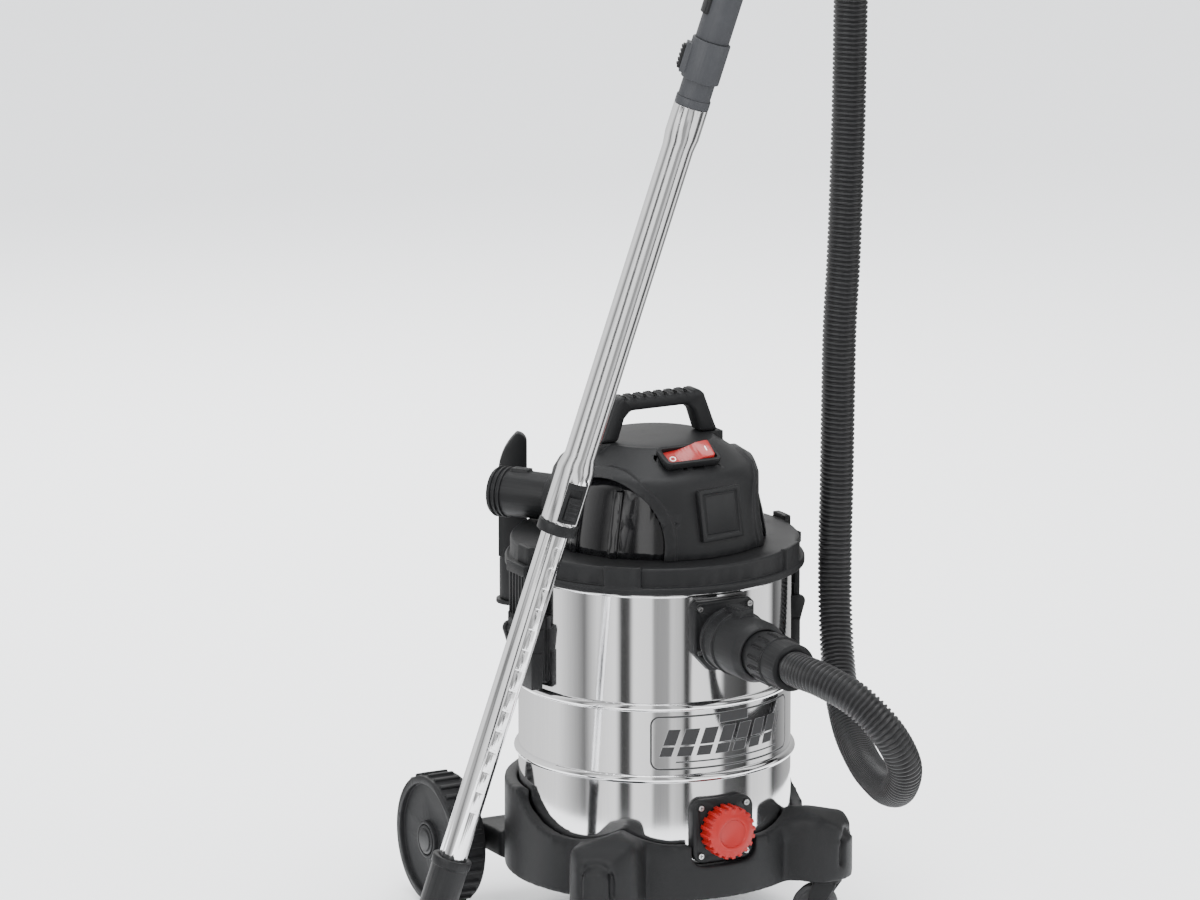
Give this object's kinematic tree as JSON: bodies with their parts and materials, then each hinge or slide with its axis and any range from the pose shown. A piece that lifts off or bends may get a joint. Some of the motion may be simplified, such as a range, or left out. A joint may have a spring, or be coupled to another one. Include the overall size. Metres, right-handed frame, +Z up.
{
  "type": "shop vacuum",
  "caption": "Wet and dry shop vacuum: bright steel drum on a wheeled carriage, black motor head with a carry handle and red rocker switch, ribbed hose, telescopic wand.",
  "frame": {"origin": "on the floor, at the middle of the floor area that the machine and its wand take, without the hose", "axes": "+Z up, -Y to the front, where the hose inlet, the rocker and the drain are, and +X to the machine's right wheel"},
  "size_m": [0.6689, 0.6824, 1.316],
  "materials": {
    "stainless_steel": "bright rolled stainless sheet, fine vertical brushing",
    "chromed_tube": "polished chrome plating",
    "black_plastic": "fine grained black moulding",
    "carriage_plastic": "grained dark grey moulding",
    "gloss_black": "polished black moulding",
    "grip_grey": "dark grey moulding",
    "red_plastic": "red moulding, slightly glossy",
    "wheel_plastic": "ribbed black wheel moulding",
    "caster_rubber": "grey-black rubber",
    "hose_plastic": "ribbed black flexible hose",
    "seal_rubber": "black rubber",
    "zinc_steel": "zinc plated steel",
    "motor_metal": "cast aluminium",
    "copper_windings": "varnished windings",
    "white_plastic": "natural white moulding",
    "filter_paper": "pleated filter paper"
  },
  "bodies": {
    "cart": {"drum": "stainless_steel", "base_carriage": "carriage_plastic", "rear_axle": "zinc_steel", "inlet_flange": "black_plastic", "inlet_screws": "zinc_steel", "inlet_deflector": "black_plastic", "hose_cuff": "black_plastic", "hose": "hose_plastic", "drain_flange": "black_plastic", "drain_screws": "zinc_steel", "latch_base_left": "black_plastic", "latch_base_right": "black_plastic", "wand_upper_tube": "chromed_tube", "wand_sleeve": "black_plastic", "grip_collar": "grip_grey", "grip_handle": "grip_grey"},
    "rear_wheel_left": {"rear_wheel_left": "wheel_plastic", "hub_cap_left": "black_plastic"},
    "rear_wheel_right": {"rear_wheel_right": "wheel_plastic", "hub_cap_right": "black_plastic"},
    "caster_fork_left": {"caster_fork_left": "black_plastic"},
    "caster_fork_right": {"caster_fork_right": "black_plastic"},
    "caster_wheel_left": {"caster_wheel_left": "caster_rubber"},
    "caster_wheel_right": {"caster_wheel_right": "caster_rubber"},
    "hose_collar": {"hose_collar": "black_plastic"},
    "drain_seal": {"drain_seal": "seal_rubber"},
    "drain_cap": {"drain_cap": "red_plastic"},
    "latch_left": {"latch_lever_left": "black_plastic"},
    "latch_right": {"latch_lever_right": "black_plastic"},
    "head": {"lid_ring": "black_plastic", "lid_seal": "seal_rubber", "head_shell": "black_plastic", "side_insert_left": "gloss_black", "side_insert_right": "gloss_black", "carry_handle": "black_plastic", "front_panel": "black_plastic", "switch_bezel": "black_plastic", "blower_port": "black_plastic", "cord_gland": "black_plastic", "head_screws": "zinc_steel", "tool_holder": "black_plastic", "motor_housing": "motor_metal", "float_cage": "white_plastic", "cartridge_filter": "filter_paper", "filter_retainer": "black_plastic"},
    "rocker": {"power_rocker": "red_plastic"},
    "rotor": {"motor_rotor": "copper_windings", "impeller": "motor_metal"},
    "float": {"float_ball": "white_plastic"},
    "crevice": {"crevice_tool": "black_plastic"},
    "lower_wand": {"wand_lower_tube": "chromed_tube", "floor_neck": "black_plastic"},
    "floor_tool": {"floor_tool": "black_plastic", "floor_strips": "seal_rubber"},
    "wand_button": {"wand_button": "black_plastic"},
    "grip_latch": {"grip_latch": "black_plastic"},
    "grip_slide": {"grip_slide": "black_plastic"}
  },
  "joints": [
    {"name": "rear_wheel_left_spin", "type": "hinge", "parent": "cart", "child": "rear_wheel_left", "pos_m": [-0.07971, 0.198, 0.077], "axis": [1, 0, 0], "continuous": true},
    {"name": "rear_wheel_right_spin", "type": "hinge", "parent": "cart", "child": "rear_wheel_right", "pos_m": [0.31429, 0.198, 0.077], "axis": [1, 0, 0], "continuous": true},
    {"name": "caster_left_swivel", "type": "hinge", "parent": "cart", "child": "caster_fork_left", "pos_m": [-0.02767, -0.09696, 0.06], "axis": [0, 0, 1], "continuous": true},
    {"name": "caster_right_swivel", "type": "hinge", "parent": "cart", "child": "caster_fork_right", "pos_m": [0.26225, -0.09696, 0.06], "axis": [0, 0, 1], "continuous": true},
    {"name": "caster_left_spin", "type": "hinge", "parent": "caster_fork_left", "child": "caster_wheel_left", "pos_m": [-0.01777, -0.08706, 0.025], "axis": [0.7071, -0.7071, 0], "continuous": true},
    {"name": "caster_right_spin", "type": "hinge", "parent": "caster_fork_right", "child": "caster_wheel_right", "pos_m": [0.25235, -0.08706, 0.025], "axis": [0.7071, 0.7071, 0], "continuous": true},
    {"name": "hose_collar_turn", "type": "hinge", "parent": "cart", "child": "hose_collar", "pos_m": [0.11729, -0.152, 0.363], "axis": [0, -1, 0], "range_deg": [0, 45]},
    {"name": "drain_cap_out", "type": "slide", "parent": "cart", "child": "drain_seal", "axis": [0, -1, 0], "range_m": [0, 0.01]},
    {"name": "drain_cap_turn", "type": "hinge", "parent": "drain_seal", "child": "drain_cap", "pos_m": [0.11729, -0.122, 0.139], "axis": [0, -1, 0], "range_deg": [0, 900]},
    {"name": "latch_left_open", "type": "hinge", "parent": "cart", "child": "latch_left", "pos_m": [-0.05571, 0.048, 0.352], "axis": [0, -1, 0], "range_deg": [0, 70]},
    {"name": "latch_right_open", "type": "hinge", "parent": "cart", "child": "latch_right", "pos_m": [0.29029, 0.048, 0.352], "axis": [0, 1, 0], "range_deg": [0, 70]},
    {"name": "head_lift", "type": "slide", "parent": "cart", "child": "head", "axis": [0, 0, 1], "range_m": [0, 0.32]},
    {"name": "power_rocker_tilt", "type": "hinge", "parent": "head", "child": "rocker", "pos_m": [0.11729, -0.02726, 0.54731], "axis": [0, 0.837, 0.5472], "range_deg": [0, 16]},
    {"name": "motor_spin", "type": "hinge", "parent": "head", "child": "rotor", "pos_m": [0.11729, 0.048, 0.485], "axis": [0, 0, 1], "continuous": true},
    {"name": "float_rise", "type": "slide", "parent": "head", "child": "float", "axis": [0, 0, 1], "range_m": [0, 0.038]},
    {"name": "crevice_tool_lift", "type": "slide", "parent": "head", "child": "crevice", "axis": [0, 0, 1], "range_m": [0, 0.06]},
    {"name": "wand_telescope", "type": "slide", "parent": "cart", "child": "lower_wand", "axis": [0.2611, -0.1388, 0.9553], "range_m": [0, 0.3]},
    {"name": "floor_tool_tilt", "type": "hinge", "parent": "lower_wand", "child": "floor_tool", "pos_m": [-0.23299, -0.06022, 0.034], "axis": [0.4695, 0.8829, 0], "range_deg": [-30, 45]},
    {"name": "wand_button_slide", "type": "slide", "parent": "cart", "child": "wand_button", "axis": [0.2611, -0.1388, 0.9553], "range_m": [0, 0.008], "stiffness_N_per_m": 300},
    {"name": "grip_latch_press", "type": "slide", "parent": "cart", "child": "grip_latch", "axis": [0.8435, -0.4485, -0.2957], "range_m": [0, 0.0022], "stiffness_N_per_m": 800},
    {"name": "grip_slide_move", "type": "slide", "parent": "cart", "child": "grip_slide", "axis": [0.2611, -0.1388, 0.9553], "range_m": [0, 0.02]}
  ],
  "couplings": [
    {"joint": "drain_cap_out", "follows": "drain_cap_turn", "m_per_rad": 0.0006366}
  ]
}
